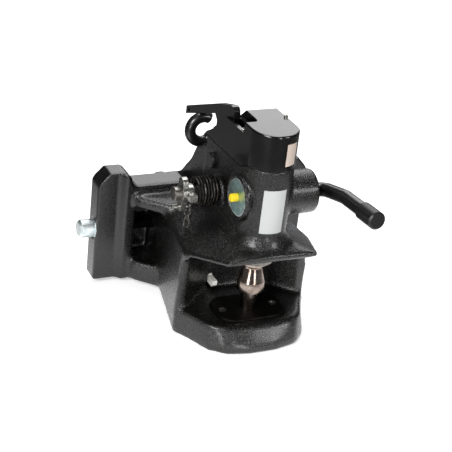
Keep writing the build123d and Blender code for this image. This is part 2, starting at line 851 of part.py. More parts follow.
# Coupling pin with its crowned belt, waist and window for the finger
pin_tip_top = pin_bottom + 2 * pin_tip_chamfer
with BuildPart() as coupling_pin:
    with BuildSketch(Plane.XZ):
        with BuildLine():
            Line((0, pin_bottom), (pin_tip_radius - pin_tip_chamfer, pin_bottom))
            Line((pin_tip_radius - pin_tip_chamfer, pin_bottom), (pin_tip_radius, pin_tip_top))
            Line((pin_tip_radius, pin_tip_top), (pin_tip_radius, pin_neck_bottom))
            Line((pin_tip_radius, pin_neck_bottom), (pin_neck_radius, pin_belt_bottom - 3))
            Line((pin_neck_radius, pin_belt_bottom - 3), (pin_radius - pin_crown, pin_belt_bottom))
            ThreePointArc(
                (pin_radius - pin_crown, pin_belt_bottom),
                (pin_radius, (pin_belt_bottom + pin_belt_top) / 2),
                (pin_radius - pin_crown, pin_belt_top),
            )
            Line((pin_radius - pin_crown, pin_belt_top), (pin_waist_radius, pin_waist_z))
            Line((pin_waist_radius, pin_waist_z), (pin_waist_radius, pin_waist_z + pin_waist_height))
            Line((pin_waist_radius, pin_waist_z + pin_waist_height), (pin_radius, pin_guide_bottom))
            Line((pin_radius, pin_guide_bottom), (pin_radius, pin_top - pin_tip_chamfer))
            Line((pin_radius, pin_top - pin_tip_chamfer), (pin_radius - pin_tip_chamfer, pin_top))
            Line((pin_radius - pin_tip_chamfer, pin_top), (0, pin_top))
            Line((0, pin_top), (0, pin_bottom))
        make_face()
    revolve(axis=Axis.Z)
    with BuildSketch(Plane.YZ):
        Polygon(
            (-pin_radius - 1, window_low),
            (window_ramp_y, window_low),
            (pin_radius + 0.5, window_low - window_ramp_drop),
            (pin_radius + 0.5, window_high + window_flare_rise),
            (window_flare_y, window_high),
            (-pin_radius - 1, window_high),
            align=None,
        )
    extrude(amount=window_half, both=True, mode=Mode.SUBTRACT)
coupling_pin.part.label = "coupling_pin"
export_step(coupling_pin.part, "parts/coupling_pin.step")

with BuildPart() as upper_bush:
    with BuildSketch(Plane.XY.offset(upper_bush_bottom)):
        Circle(pin_radius + running_gap + bush_wall - press_gap)
        Circle(pin_radius + running_gap, mode=Mode.SUBTRACT)
    extrude(amount=upper_bush_top - upper_bush_bottom)
upper_bush.part.label = "upper_bush"
export_step(upper_bush.part, "parts/upper_bush.step")

wear_seat = jaw_floor - wear_thickness + wear_proud
with BuildPart() as lower_bush:
    with BuildSketch(Plane.XY.offset(lower_bush_bottom)):
        Circle(pin_tip_radius + lower_bush_wall - press_gap)
        Circle(pin_tip_radius + running_gap, mode=Mode.SUBTRACT)
    extrude(amount=wear_seat - lower_bush_bottom)
lower_bush.part.label = "lower_bush"
export_step(lower_bush.part, "parts/lower_bush.step")

# Wear plate of the jaw floor, held by two countersunk screws
wear_top = wear_seat + wear_thickness
with BuildPart() as wear_plate:
    with BuildSketch(Plane.XY.offset(wear_seat)):
        RectangleRounded(2 * wear_half_x, 2 * wear_half_y, wear_corner)
        Circle(pin_tip_radius + 0.6, mode=Mode.SUBTRACT)
    extrude(amount=wear_thickness)
    chamfer(wear_plate.faces().sort_by(Axis.Z)[-1].outer_wire().edges(), wear_proud / 2)
    with Locations((-wear_screw_x, 0, wear_top), (wear_screw_x, 0, wear_top)):
        CounterSinkHole(
            radius=wear_screw_radius,
            counter_sink_radius=wear_screw_head,
            depth=wear_thickness,
            counter_sink_angle=wear_sink_deg,
        )
wear_plate.part.label = "wear_plate"
export_step(wear_plate.part, "parts/wear_plate.step")

with BuildPart() as wear_screws:
    sink_depth = (wear_screw_head - wear_screw_radius) / math.tan(math.radians(wear_sink_deg / 2))
    for x in (-wear_screw_x, wear_screw_x):
        with BuildSketch(Plane.XZ):
            Polygon(
                (x, wear_top),
                (x + wear_screw_head - press_gap, wear_top),
                (x + wear_screw_radius - press_gap, wear_top - sink_depth),
                (x + wear_screw_radius - press_gap, wear_top - wear_screw_length),
                (x, wear_top - wear_screw_length),
                align=None,
            )
        revolve(axis=Axis((x, 0, 0), (0, 0, 1)))
    with BuildSketch(Plane.XY.offset(wear_top)):
        with Locations((-wear_screw_x, 0), (wear_screw_x, 0)):
            RegularPolygon(wear_screw_radius, 6)
    extrude(amount=-socket_depth, mode=Mode.SUBTRACT)
wear_screws.part.label = "wear_screws"
export_step(wear_screws.part, "parts/wear_screws.step")


def arm_outline(stations, degrees):
    """Outline of a tapering arm around the lifting axis from (reach, half width) stations."""
    angle = math.radians(degrees)
    upper = []
    lower = []
    for reach, half in stations:
        y, z = in_side_view(reach, degrees)
        upper.append((y + half * math.sin(angle), z + half * math.cos(angle)))
        lower.append((y - half * math.sin(angle), z - half * math.cos(angle)))
    return upper + lower[::-1]


# Finger that lifts the coupling pin, with an ear for the drag link
ear_mid_deg = -math.degrees(math.atan2(lift_y, hand_z - lift_z))
ear_rest_deg = ear_mid_deg - swing / 2
ear_pin = in_side_view(link_arm, ear_rest_deg)
crank_pin_place = in_side_view(link_arm, ear_rest_deg, 0, hand_z)
dog_heading = math.degrees(math.atan2(cross_z - lift_z, lift_y - cross_y))
dog_place = in_side_view(dog_radius, dog_heading - swing / 2)
finger_profile = [
    (0, finger_hub_radius - finger_root_inset),
    (finger_reach / 2, finger_middle_half),
    (finger_reach / 2 + finger_taper, finger_slim_half),
    (finger_reach, finger_slim_half),
]
with BuildPart() as lifting_finger:
    with BuildSketch(Plane.YZ.offset(-finger_half)):
        Polygon(
            *arm_outline(finger_profile, finger_rest_deg),
            align=None,
        )
        with Locations(in_side_view(finger_reach, finger_rest_deg)):
            Circle(finger_tip_radius)
    extrude(amount=2 * finger_half)
    with BuildSketch(Plane.YZ.offset(hub_left)):
        with Locations((lift_y, lift_z)):
            Circle(finger_hub_radius)
    extrude(amount=hub_right - hub_left)
    with BuildSketch(Plane.YZ.offset(ear_left)):
        Polygon(*arm_outline([(0, finger_hub_radius - 2), (link_arm, ear_radius)], ear_rest_deg), align=None)
        with Locations(ear_pin):
            Circle(ear_radius)
    extrude(amount=hub_right - ear_left)
    with BuildSketch(Plane.YZ):
        with Locations((lift_y, lift_z)):
            Circle(lift_radius + press_gap)
    extrude(amount=2 * hub_right, both=True, mode=Mode.SUBTRACT)
    with BuildSketch(Plane.YZ.offset(ear_left)):
        with Locations(ear_pin):
            Circle(link_pin_radius + press_gap)
    extrude(amount=hub_right, mode=Mode.SUBTRACT)
    with BuildSketch(Plane.YZ.offset(hub_left)):
        with Locations(dog_place):
            Circle(dog_pin_radius + press_gap)
    extrude(amount=-hub_left - finger_half + 1, mode=Mode.SUBTRACT)
lifting_finger.part.label = "lifting_finger"
export_step(lifting_finger.part, "parts/lifting_finger.step")

with BuildPart() as finger_pins:
    with BuildSketch(Plane.YZ.offset(ear_left)):
        with Locations(ear_pin):
            Circle(link_pin_radius)
    extrude(amount=link_right - ear_left)
    with BuildSketch(Plane.YZ.offset(-finger_half)):
        with Locations(dog_place):
            Circle(dog_pin_radius)
    extrude(amount=remote_left + finger_half + 0.2)
finger_pins.part.label = "finger_pins"
export_step(finger_pins.part, "parts/finger_pins.step")

with BuildPart() as lifting_shaft:
    with BuildSketch(Plane.YZ.offset(lift_left_end)):
        with Locations((lift_y, lift_z)):
            Circle(lift_radius)
    extrude(amount=lift_right_end - lift_left_end)
    chamfer(lifting_shaft.edges().filter_by(GeomType.CIRCLE), 1.2)
    with BuildSketch(Plane.YZ.offset(remote_left - 0.4)):
        with Locations((lift_y, lift_z)):
            Circle(lift_radius + 1)
            Circle(lift_waist_radius, mode=Mode.SUBTRACT)
    extrude(amount=remote_right - remote_left + 1.2, mode=Mode.SUBTRACT)
lifting_shaft.part.label = "lifting_shaft"
export_step(lifting_shaft.part, "parts/lifting_shaft.step")

with BuildPart() as lifting_bush:
    with BuildSketch(Plane.YZ.offset(-lift_boss_x)):
        with Locations((lift_y, lift_z)):
            Circle(lift_bush_radius - press_gap)
            Circle(lift_radius + running_gap, mode=Mode.SUBTRACT)
    extrude(amount=lift_boss_x - tower_half + tower_wall)
lifting_bush.part.label = "lifting_bush"
export_step(lifting_bush.part, "parts/lifting_bush.step")

# Drag link
with BuildPart() as drag_link:
    with BuildSketch(Plane.YZ.offset(link_left)):
        with Locations(ear_pin, crank_pin_place):
            Circle(link_eye_radius)
        link_slope = math.atan2(ear_pin[1] - crank_pin_place[1], ear_pin[0] - crank_pin_place[0])
        side_y = -link_half_height * math.sin(link_slope)
        side_z = link_half_height * math.cos(link_slope)
        Polygon(
            (crank_pin_place[0] + side_y, crank_pin_place[1] + side_z),
            (ear_pin[0] + side_y, ear_pin[1] + side_z),
            (ear_pin[0] - side_y, ear_pin[1] - side_z),
            (crank_pin_place[0] - side_y, crank_pin_place[1] - side_z),
            align=None,
        )
        with Locations(ear_pin, crank_pin_place):
            Circle(link_pin_radius + link_pin_gap, mode=Mode.SUBTRACT)
    extrude(amount=link_right - link_left)
drag_link.part.label = "drag_link"
export_step(drag_link.part, "parts/drag_link.step")

# Drive crank, pressed on the hand shaft
with BuildPart() as drive_crank:
    with BuildSketch(Plane.YZ.offset(crank_disc_left)):
        with Locations((0, hand_z)):
            Circle(crank_disc_radius)
            Circle(crank_spigot + press_gap, mode=Mode.SUBTRACT)
        with Locations(crank_pin_place):
            Circle(link_pin_radius + press_gap, mode=Mode.SUBTRACT)
    extrude(amount=crank_disc_right - crank_disc_left)
drive_crank.part.label = "drive_crank"
export_step(drive_crank.part, "parts/drive_crank.step")

with BuildPart() as crank_pin:
    with BuildSketch(Plane.YZ.offset(link_left)):
        with Locations(crank_pin_place):
            Circle(link_pin_radius)
    extrude(amount=crank_disc_right - link_left)
crank_pin.part.label = "crank_pin"
export_step(crank_pin.part, "parts/crank_pin.step")

# Hand lever, one bent bar with its shaft end
lever_path_points = [
    (hand_shaft_end - 4, 0, hand_z),
    (lever_bend_x, 0, hand_z),
    (lever_bend_x - 2, -56, hand_z + 15.5),
    (lever_bend_x - 4, lever_tip_y, lever_tip_z),
]
with BuildPart() as hand_lever:
    with BuildSketch(Plane.YZ.offset(crank_disc_left)):
        with Locations((0, hand_z)):
            Circle(crank_spigot)
    extrude(amount=crank_disc_right - crank_disc_left)
    with BuildSketch(Plane.YZ.offset(crank_disc_right)):
        with Locations((0, hand_z)):
            Circle(hand_shaft_radius)
    extrude(amount=hand_shaft_end - crank_disc_right)
    with BuildLine():
        FilletPolyline(*lever_path_points, radius=lever_bend_radius)
    with BuildSketch(Plane.YZ.offset(hand_shaft_end - 4)):
        with Locations((0, hand_z)):
            Circle(lever_bar_radius)
    sweep()
hand_lever.part.label = "hand_lever"
export_step(hand_lever.part, "parts/hand_lever.step")

# Grip sleeve over the end of the bar
grip_axis = Vector(*lever_path_points[-1]) - Vector(*lever_path_points[-2])
grip_end = Vector(*lever_path_points[-1])
grip_start = grip_end - grip_axis.normalized() * grip_bore_depth
with BuildPart() as lever_grip:
    with BuildSketch(Plane(origin=grip_start, z_dir=grip_axis)):
        Circle(grip_radius)
    extrude(amount=grip_length)
    chamfer(lever_grip.edges().filter_by(GeomType.CIRCLE), grip_corner / 2)
    with BuildSketch(Plane(origin=grip_start, z_dir=grip_axis)):
        Circle(lever_bar_radius + press_gap)
    extrude(amount=grip_bore_depth + press_gap, mode=Mode.SUBTRACT)
lever_grip.part.label = "lever_grip"
export_step(lever_grip.part, "parts/lever_grip.step")

with BuildPart() as hand_bush:
    with BuildSketch(Plane.YZ.offset(crank_room_end)):
        with Locations((0, hand_z)):
            Circle(hand_shaft_radius + hand_bush_wall - press_gap)
            Circle(hand_shaft_radius + running_gap, mode=Mode.SUBTRACT)
    extrude(amount=hand_boss_end - seal_thickness - crank_room_end)
hand_bush.part.label = "hand_bush"
export_step(hand_bush.part, "parts/hand_bush.step")

with BuildPart() as hand_seal:
    with BuildSketch(Plane.YZ.offset(hand_boss_end - seal_thickness)):
        with Locations((0, hand_z)):
            Circle(seal_radius - press_gap)
            Circle(hand_shaft_radius + running_gap, mode=Mode.SUBTRACT)
    extrude(amount=seal_thickness)
hand_seal.part.label = "hand_seal"
export_step(hand_seal.part, "parts/hand_seal.step")

# Indicator disc with the yellow control pin through it
with BuildPart() as indicator_disc:
    with BuildSketch(Plane.YZ.offset(-disc_boss_x + disc_recess)):
        with Locations((0, hand_z)):
            Circle(disc_radius)
            Circle(control_radius + control_gap, mode=Mode.SUBTRACT)
    extrude(amount=disc_thickness)
    chamfer(indicator_disc.faces().sort_by(Axis.X)[0].outer_wire().edges(), disc_thickness / 4)
indicator_disc.part.label = "indicator_disc"
export_step(indicator_disc.part, "parts/indicator_disc.step")

with BuildPart() as control_pin:
    with BuildSketch(Plane.YZ.offset(-control_out_x)):
        with Locations((0, hand_z)):
            Circle(control_radius)
    extrude(amount=control_out_x - control_in_x)
    chamfer(control_pin.faces().sort_by(Axis.X)[0].edges(), control_radius / 4)
    with BuildSketch(Plane.YZ.offset(-control_collar_left)):
        with Locations((0, hand_z)):
            Circle(control_collar_radius)
    extrude(amount=control_collar_left - control_collar_right)
control_pin.part.label = "control_pin"
export_step(control_pin.part, "parts/control_pin.step")

# Cross pin, spacer and retaining ring of the remote lever
with BuildPart() as cross_pin:
    with BuildSketch(Plane.YZ.offset(-cross_head_x)):
        with Locations((cross_y, cross_z)):
            Circle(cross_head_radius)
    extrude(amount=cross_head_x - tower_half)
    chamfer(cross_pin.faces().sort_by(Axis.X)[0].edges(), 1.5)
    with BuildSketch(Plane.YZ.offset(-tower_half)):
        with Locations((cross_y, cross_z)):
            Circle(cross_radius)
    extrude(amount=tower_half + cross_tail_x)
    with BuildSketch(Plane.YZ.offset(tower_half + 0.2)):
        with Locations((cross_y, cross_z)):
            Circle(cross_radius + 1)
            Circle(cross_radius - 1, mode=Mode.SUBTRACT)
    extrude(amount=ring_width, mode=Mode.SUBTRACT)
cross_pin.part.label = "cross_pin"
export_step(cross_pin.part, "parts/cross_pin.step")

with BuildPart() as cross_ring:
    with BuildSketch(Plane.YZ.offset(tower_half + 0.25)):
        with Locations((cross_y, cross_z)):
            Circle(cross_radius + 3)
            Circle(cross_radius - 1 + press_gap, mode=Mode.SUBTRACT)
            with Locations((0, cross_radius)):
                Rectangle(cross_radius / 2, 2 * cross_radius, mode=Mode.SUBTRACT)
    extrude(amount=ring_width - 0.1)
cross_ring.part.label = "cross_ring"
export_step(cross_ring.part, "parts/cross_ring.step")

with BuildPart() as cross_spacer:
    with BuildSketch(Plane.YZ.offset(remote_right + 0.3)):
        with Locations((cross_y, cross_z)):
            Circle(cross_radius + 3)
            Circle(cross_radius + running_gap, mode=Mode.SUBTRACT)
    extrude(amount=tower_half - tower_wall - remote_right - 0.5)
cross_spacer.part.label = "cross_spacer"
export_step(cross_spacer.part, "parts/cross_spacer.step")

# Remote lever: flat bar with a hub, a forked nose inside and a long tail outside
nose_turn = math.atan2(lift_z - cross_z, lift_y - cross_y) - math.radians(swing / 4)
nose_y = math.cos(nose_turn)
nose_z = math.sin(nose_turn)


def on_nose(reach, side):
    """Point of the forked nose, along it and to its side."""
    return (cross_y + reach * nose_y - side * nose_z, cross_z + reach * nose_z + side * nose_y)


bar_end_low = remote_end_z - remote_bar_depth
bar_root_y = remote_bend_y + 8
bar_root_z = remote_bend_z - 17
bar_fall = (bar_root_z - bar_end_low) / (remote_end_y - bar_root_y)
remote_outline = [
    (cross_y - remote_hub_radius, cross_z - 3),
    (remote_top_y - 12, cover_notch_floor),
    (remote_top_y - 10, remote_top_z - 4),
    (remote_top_y - 6, remote_top_z),
    (remote_top_y, remote_top_z),
    (remote_bend_y, remote_bend_z),
    (remote_end_y, remote_end_z),
    (remote_end_y, bar_end_low),
    (bar_root_y, bar_root_z),
    (bar_root_y - 7, bar_root_z - 6),
    (cross_y + remote_hub_radius, cross_z),
]
with BuildPart() as remote_lever:
    with BuildSketch(Plane.YZ.offset(remote_left)):
        with Locations((cross_y, cross_z)):
            Circle(nose_reach)
        Polygon(
            on_nose(0, nose_half),
            on_nose(nose_reach + 5, nose_half),
            on_nose(nose_reach + 5, -nose_half),
            on_nose(0, -nose_half),
            align=None,
            mode=Mode.INTERSECT,
        )
        Polygon(
            on_nose(dog_slot_near, dog_slot_half),
            on_nose(nose_reach + 5, dog_slot_half),
            on_nose(nose_reach + 5, -dog_slot_half),
            on_nose(dog_slot_near, -dog_slot_half),
            align=None,
            mode=Mode.SUBTRACT,
        )
        with Locations((cross_y, cross_z)):
            Circle(remote_hub_radius)
        Polygon(*remote_outline, align=None)
        with Locations((cross_y, cross_z)):
            Circle(cross_radius + running_gap, mode=Mode.SUBTRACT)
        with Locations((remote_hole_y, remote_hole_z)):
            Circle(remote_hole_radius, mode=Mode.SUBTRACT)
    extrude(amount=remote_right - remote_left)
remote_lever.part.label = "remote_lever"
export_step(remote_lever.part, "parts/remote_lever.step")

# Rope hook, a round bar bent to a C and welded across the underside of the lever's tail
with BuildPart() as rope_hook:
    with BuildLine(Plane.XZ.offset(-hook_y)):
        hook_start = PolarLine((hook_x, hook_z), hook_radius, hook_start_deg, mode=Mode.PRIVATE) @ 1
        bowl = JernArc(
            hook_start,
            (-math.sin(math.radians(hook_start_deg)), math.cos(math.radians(hook_start_deg))),
            hook_radius,
            hook_bowl_deg,
        )
        tail = JernArc(bowl @ 1, bowl % 1, hook_tail_radius, hook_tail_deg)
    with BuildSketch(Plane(origin=bowl @ 0, z_dir=bowl % 0)):
        Circle(hook_bar_radius)
    sweep()
    chamfer(rope_hook.faces().sort_by_distance(tail @ 1)[0].edges(), hook_end_chamfer)
    with BuildSketch(Plane.YZ.offset(remote_left)):
        Polygon(
            (remote_end_y, bar_end_low),
            (bar_root_y, bar_root_z),
            (bar_root_y, bar_root_z + hook_radius),
            (remote_end_y, bar_root_z + hook_radius),
            align=None,
        )
    extrude(amount=remote_right - remote_left, mode=Mode.SUBTRACT)
rope_hook.part.label = "rope_hook"
export_step(rope_hook.part, "parts/rope_hook.step")

# Torsion spring with one leg along the clamp
with BuildPart() as closing_spring:
    coil_start = Vector(coil_start_x, lift_y, lift_z)
    coil = coil_points(coil_turns, coil_pitch, coil_mean_radius, coil_corners, coil_start, Vector(-1, 0, 0))
    with BuildLine():
        leg_foot = coil[-1] + Vector(0, 0, -block_side / 2 - coil_wire - 0.1)
        Polyline(*coil, leg_foot, leg_foot + Vector(-spring_leg, 0, 0))
    with BuildSketch(Plane(origin=coil[0], z_dir=coil[1] - coil[0])):
        RegularPolygon(coil_wire, wire_sides)
    sweep(transition=Transition.RIGHT)
closing_spring.part.label = "closing_spring"
export_step(closing_spring.part, "parts/closing_spring.step")

# Clamp on the lifting shaft, its square-headed screw and the stop pin
with BuildPart() as shaft_clamp:
    with BuildSketch(Plane.YZ.offset(clamp_left)):
        with Locations((lift_y, lift_z)):
            Circle(clamp_radius)
    extrude(amount=clamp_hub_right - clamp_left)
    with BuildSketch(Plane.YZ.offset(clamp_left)):
        with Locations((lift_y, clamp_lobe_z)):
            Circle(clamp_lobe_radius)
        with Locations((lift_y, clamp_low_z)):
            Circle(clamp_low_radius)
        Polygon(
            (lift_y - clamp_lobe_radius, clamp_lobe_z),
            (lift_y + clamp_lobe_radius, clamp_lobe_z),
            (lift_y + clamp_low_radius, clamp_low_z),
            (lift_y - clamp_low_radius, clamp_low_z),
            align=None,
        )
    extrude(amount=clamp_plate_right - clamp_left)
    with BuildSketch(Plane.YZ):
        with Locations((lift_y, lift_z)):
            Circle(lift_radius + clamp_gap)
    extrude(amount=lift_left_end, mode=Mode.SUBTRACT)
    with BuildSketch(Plane.YZ):
        with Locations((lift_y, clamp_low_z)):
            Circle(stop_radius + press_gap)
    extrude(amount=lift_left_end, mode=Mode.SUBTRACT)
    with BuildSketch(Plane.XZ.offset(-lift_y)):
        with Locations(((clamp_hub_right + clamp_plate_right) / 2, lift_z)):
            Circle(clamp_screw_radius + press_gap)
    extrude(amount=clamp_radius + 1, mode=Mode.SUBTRACT)
shaft_clamp.part.label = "shaft_clamp"
export_step(shaft_clamp.part, "parts/shaft_clamp.step")

with BuildPart() as clamp_screw:
    with BuildSketch(Plane.XZ.offset(-lift_y + lift_radius + 0.1)):
        with Locations(((clamp_hub_right + clamp_plate_right) / 2, lift_z)):
            Circle(clamp_screw_radius)
    extrude(amount=clamp_radius - lift_radius + 1)
    with BuildSketch(Plane.XZ.offset(-lift_y + clamp_radius + 0.5)):
        with Locations(((clamp_hub_right + clamp_plate_right) / 2, lift_z)):
            RectangleRounded(block_side, block_side, 1)
    extrude(amount=block_depth)
clamp_screw.part.label = "clamp_screw"
export_step(clamp_screw.part, "parts/clamp_screw.step")

with BuildPart() as stop_pin:
    with BuildSketch(Plane.YZ.offset(stop_left)):
        with Locations((lift_y, clamp_low_z)):
            Circle(stop_radius)
    extrude(amount=stop_right - stop_left)
    chamfer(stop_pin.edges().filter_by(GeomType.CIRCLE), 0.8)
stop_pin.part.label = "stop_pin"
export_step(stop_pin.part, "parts/stop_pin.step")

# Chain with its safety clip, hanging on the stop pin
with BuildPart() as safety_chain:
    ring_z = clamp_low_z + stop_radius + chain_gap - (chain_ring - chain_wire)
    link_step = 2 * chain_link - 2 * chain_wire - chain_gap
    first_z = ring_z - chain_ring + 2 * chain_wire + chain_gap - chain_link
    with BuildSketch(Plane.XZ.offset(-lift_y)):
        with Locations((chain_x, ring_z + chain_ring)):
            RegularPolygon(chain_wire, wire_sides)
    revolve(axis=Axis((chain_x, lift_y, ring_z), (1, 0, 0)))
    with BuildSketch(Plane.YZ.offset(chain_x)):
        with Locations((lift_y, first_z + chain_link)):
            RegularPolygon(chain_wire, wire_sides)
    revolve(axis=Axis((chain_x, lift_y, first_z), (0, 1, 0)))
    with BuildSketch(Plane.XZ.offset(-lift_y)):
        with Locations((chain_x, first_z - link_step + chain_link)):
            RegularPolygon(chain_wire, wire_sides)
    revolve(axis=Axis((chain_x, lift_y, first_z - link_step), (1, 0, 0)))
    clip_top = first_z - link_step - chain_link + 2 * chain_wire + chain_gap
    clip_bottom = clip_top - clip_length
    with BuildLine(Plane.XZ.offset(-lift_y)):
        clip_upper = (chain_x + clip_half, clip_top - clip_half)
        clip_lower = (chain_x - clip_half, clip_bottom + clip_half)
        ThreePointArc(clip_upper, (chain_x, clip_top), (clip_lower[0], clip_upper[1]))
        Line((clip_lower[0], clip_upper[1]), clip_lower)
        ThreePointArc(clip_lower, (chain_x, clip_bottom), (clip_upper[0], clip_lower[1]))
        Line((clip_upper[0], clip_lower[1]), clip_upper)
    with BuildSketch(Plane(origin=(clip_upper[0], lift_y, clip_upper[1]), z_dir=(0, 0, 1))):
        RegularPolygon(chain_wire, wire_sides)
    sweep()
safety_chain.part.label = "safety_chain"
export_step(safety_chain.part, "parts/safety_chain.step")

# Locking pins with their studs
for name, side in (("left", -1), ("right", 1)):
    with BuildPart() as locking_pin:
        with BuildSketch(Plane.YZ.offset(side * lock_stem_end)):
            with Locations((lock_y, 0)):
                Circle(lock_stem_radius)
        extrude(amount=side * (lock_shoulder_x - lock_stem_end))
        with BuildSketch(Plane.YZ.offset(side * lock_shoulder_x)):
            with Locations((lock_y, 0)):
                Circle(lock_guide_radius)
        extrude(amount=side * (lock_guide_end - lock_shoulder_x))
        with BuildSketch(Plane.YZ.offset(side * lock_guide_end)):
            with Locations((lock_y, 0)):
                Circle(lock_relief_radius)
        extrude(amount=side * (lock_relief_end - lock_guide_end))
        with BuildSketch(Plane.YZ.offset(side * lock_relief_end)):
            with Locations((lock_y, 0)):
                Circle(lock_radius)
        extrude(amount=side * (plate_width / 2 + lock_proud - lock_relief_end))
        free_end = locking_pin.faces().sort_by(Axis.X)[-1 if side > 0 else 0]
        chamfer(free_end.edges(), lock_chamfer)
        with BuildSketch(Plane.XZ.offset(-lock_y - lock_stem_radius - 1)):
            with Locations((side * stud_x, 0)):
                Circle(stud_radius + press_gap)
        extrude(amount=lock_stem_radius + 1, mode=Mode.SUBTRACT)
    locking_pin.part.label = "locking_pin_" + name
    export_step(locking_pin.part, "parts/locking_pin_" + name + ".step")
    with BuildPart() as lock_stud:
        with BuildSketch(Plane.XZ.offset(-stud_end)):
            with Locations((side * stud_x, 0)):
                Circle(stud_radius)
        extrude(amount=stud_end - lock_y)
    lock_stud.part.label = "lock_stud_" + name
    export_step(lock_stud.part, "parts/lock_stud_" + name + ".step")

# Slider with two slanted slots that draws both locking pins in
with BuildPart() as lock_slider:
    with BuildSketch(Plane.XZ.offset(-slider_front)):
        Polygon(
            (-slider_half, slider_bottom),
            (-slider_half, slider_top),
            (slider_half, slider_top),
            (slider_half, slider_bottom),
            align=None,
        )
        for side in (-1, 1):
            with Locations((side * (stud_x - lock_travel / 2), -lock_travel / 2)):
                SlotCenterToCenter(
                    lock_travel * math.sqrt(2), 2 * slot_half, rotation=side * 45, mode=Mode.SUBTRACT
                )
    extrude(amount=-slider_thickness)
    with BuildSketch(Plane.XY.offset(slider_top - 10)):
        with Locations((rod_x, rod_y)):
            Circle(rod_thread + press_gap)
    extrude(amount=11, mode=Mode.SUBTRACT)
lock_slider.part.label = "lock_slider"
export_step(lock_slider.part, "parts/lock_slider.step")

with BuildPart() as lock_rod:
    with BuildSketch(Plane.XY.offset(slider_top)):
        with Locations((rod_x, rod_y)):
            Circle(rod_radius)
    extrude(amount=rod_top - slider_top)
    with BuildSketch(Plane.XY.offset(slider_top - 10 + press_gap)):
        with Locations((rod_x, rod_y)):
            Circle(rod_thread)
    extrude(amount=10)
lock_rod.part.label = "lock_rod"
export_step(lock_rod.part, "parts/lock_rod.step")

with BuildPart() as lock_knob:
    with BuildSketch(Plane.XY.offset(rod_top - knob_height + 3)):
        with Locations((rod_x, rod_y)):
            Circle(knob_radius)
    extrude(amount=knob_height)
    chamfer(lock_knob.edges().filter_by(GeomType.CIRCLE), 2.5)
    with BuildSketch(Plane.XY.offset(rod_top)):
        with Locations((rod_x, rod_y)):
            Circle(rod_radius + press_gap)
    extrude(amount=-knob_height, mode=Mode.SUBTRACT)
lock_knob.part.label = "lock_knob"
export_step(lock_knob.part, "parts/lock_knob.step")

with BuildPart() as lock_spring:
    lock_coil_length = chamber_top - slider_top - 2 * lock_coil_wire - 0.2
    lock_coil = coil_points(
        lock_coil_turns,
        lock_coil_length / lock_coil_turns,
        lock_coil_radius,
        small_coil_corners,
        Vector(rod_x, rod_y, slider_top + lock_coil_wire + 0.1),
        Vector(0, 0, 1),
    )
    with BuildLine():
        Polyline(*lock_coil)
    with BuildSketch(Plane(origin=lock_coil[0], z_dir=lock_coil[1] - lock_coil[0])):
        RegularPolygon(lock_coil_wire, wire_sides)
    sweep(transition=Transition.RIGHT)
lock_spring.part.label = "lock_spring"
export_step(lock_spring.part, "parts/lock_spring.step")

with BuildPart() as slider_lid:
    with BuildSketch(Plane.XZ.offset(-block_back)):
        with Locations((0, (chamber_top + chamber_bottom) / 2)):
            RectangleRounded(2 * lid_half, chamber_top - chamber_bottom + 2 * lid_margin, pocket_corner)
        with Locations(*lid_screw_places):
            Circle(lid_screw_radius + lid_gap, mode=Mode.SUBTRACT)
    extrude(amount=-lid_thickness)
    with BuildSketch(Plane.XZ.offset(-block_back - lid_thickness)):
        with Locations(*lid_screw_places):
            Circle(lid_screw_head + lid_gap)
    extrude(amount=lid_screw_sink, mode=Mode.SUBTRACT)
slider_lid.part.label = "slider_lid"
export_step(slider_lid.part, "parts/slider_lid.step")

with BuildPart() as lid_screws:
    with BuildSketch(Plane.XZ.offset(-block_back - lid_thickness + lid_screw_sink)):
        with Locations(*lid_screw_places):
            Circle(lid_screw_radius - press_gap)
    extrude(amount=lid_thickness - lid_screw_sink + lid_screw_length - lid_gap)
    with BuildSketch(Plane.XZ.offset(-block_back - lid_thickness + lid_gap)):
        with Locations(*lid_screw_places):
            Circle(lid_screw_head)
    extrude(amount=lid_screw_sink - lid_gap)
lid_screws.part.label = "lid_screws"
export_step(lid_screws.part, "parts/lid_screws.step")

# Trigger with its pin and spring
with BuildPart() as trigger:
    with BuildSketch(Plane.YZ.offset(trigger_left)):
        with Locations((trigger_pivot_y, trigger_pivot_z)):
            Circle(trigger_hub)
        Polygon(
            (trigger_pivot_y - trigger_hub, trigger_pivot_z),
            (trigger_pivot_y - trigger_hub, trigger_tip_high),
            (trigger_tip_y, trigger_tip_high),
            (trigger_tip_y, trigger_tip_low + trigger_tip_slant),
            (trigger_tip_y + trigger_tip_slant, trigger_tip_low),
            (trigger_pivot_y, trigger_tip_low),
            (trigger_pivot_y + trigger_hub, trigger_pivot_z),
            align=None,
        )
        with Locations((trigger_pivot_y, trigger_pivot_z)):
            Circle(trigger_pin_radius + running_gap, mode=Mode.SUBTRACT)
    extrude(amount=trigger_right - trigger_left)
trigger.part.label = "trigger"
export_step(trigger.part, "parts/trigger.step")

with BuildPart() as trigger_pin:
    with BuildSketch(Plane.YZ.offset(trigger_left - trigger_coil_room - trigger_pin_reach)):
        with Locations((trigger_pivot_y, trigger_pivot_z)):
            Circle(trigger_pin_radius - press_gap)
    extrude(amount=trigger_right - trigger_left + trigger_coil_room + 2 * trigger_pin_reach)
trigger_pin.part.label = "trigger_pin"
export_step(trigger_pin.part, "parts/trigger_pin.step")

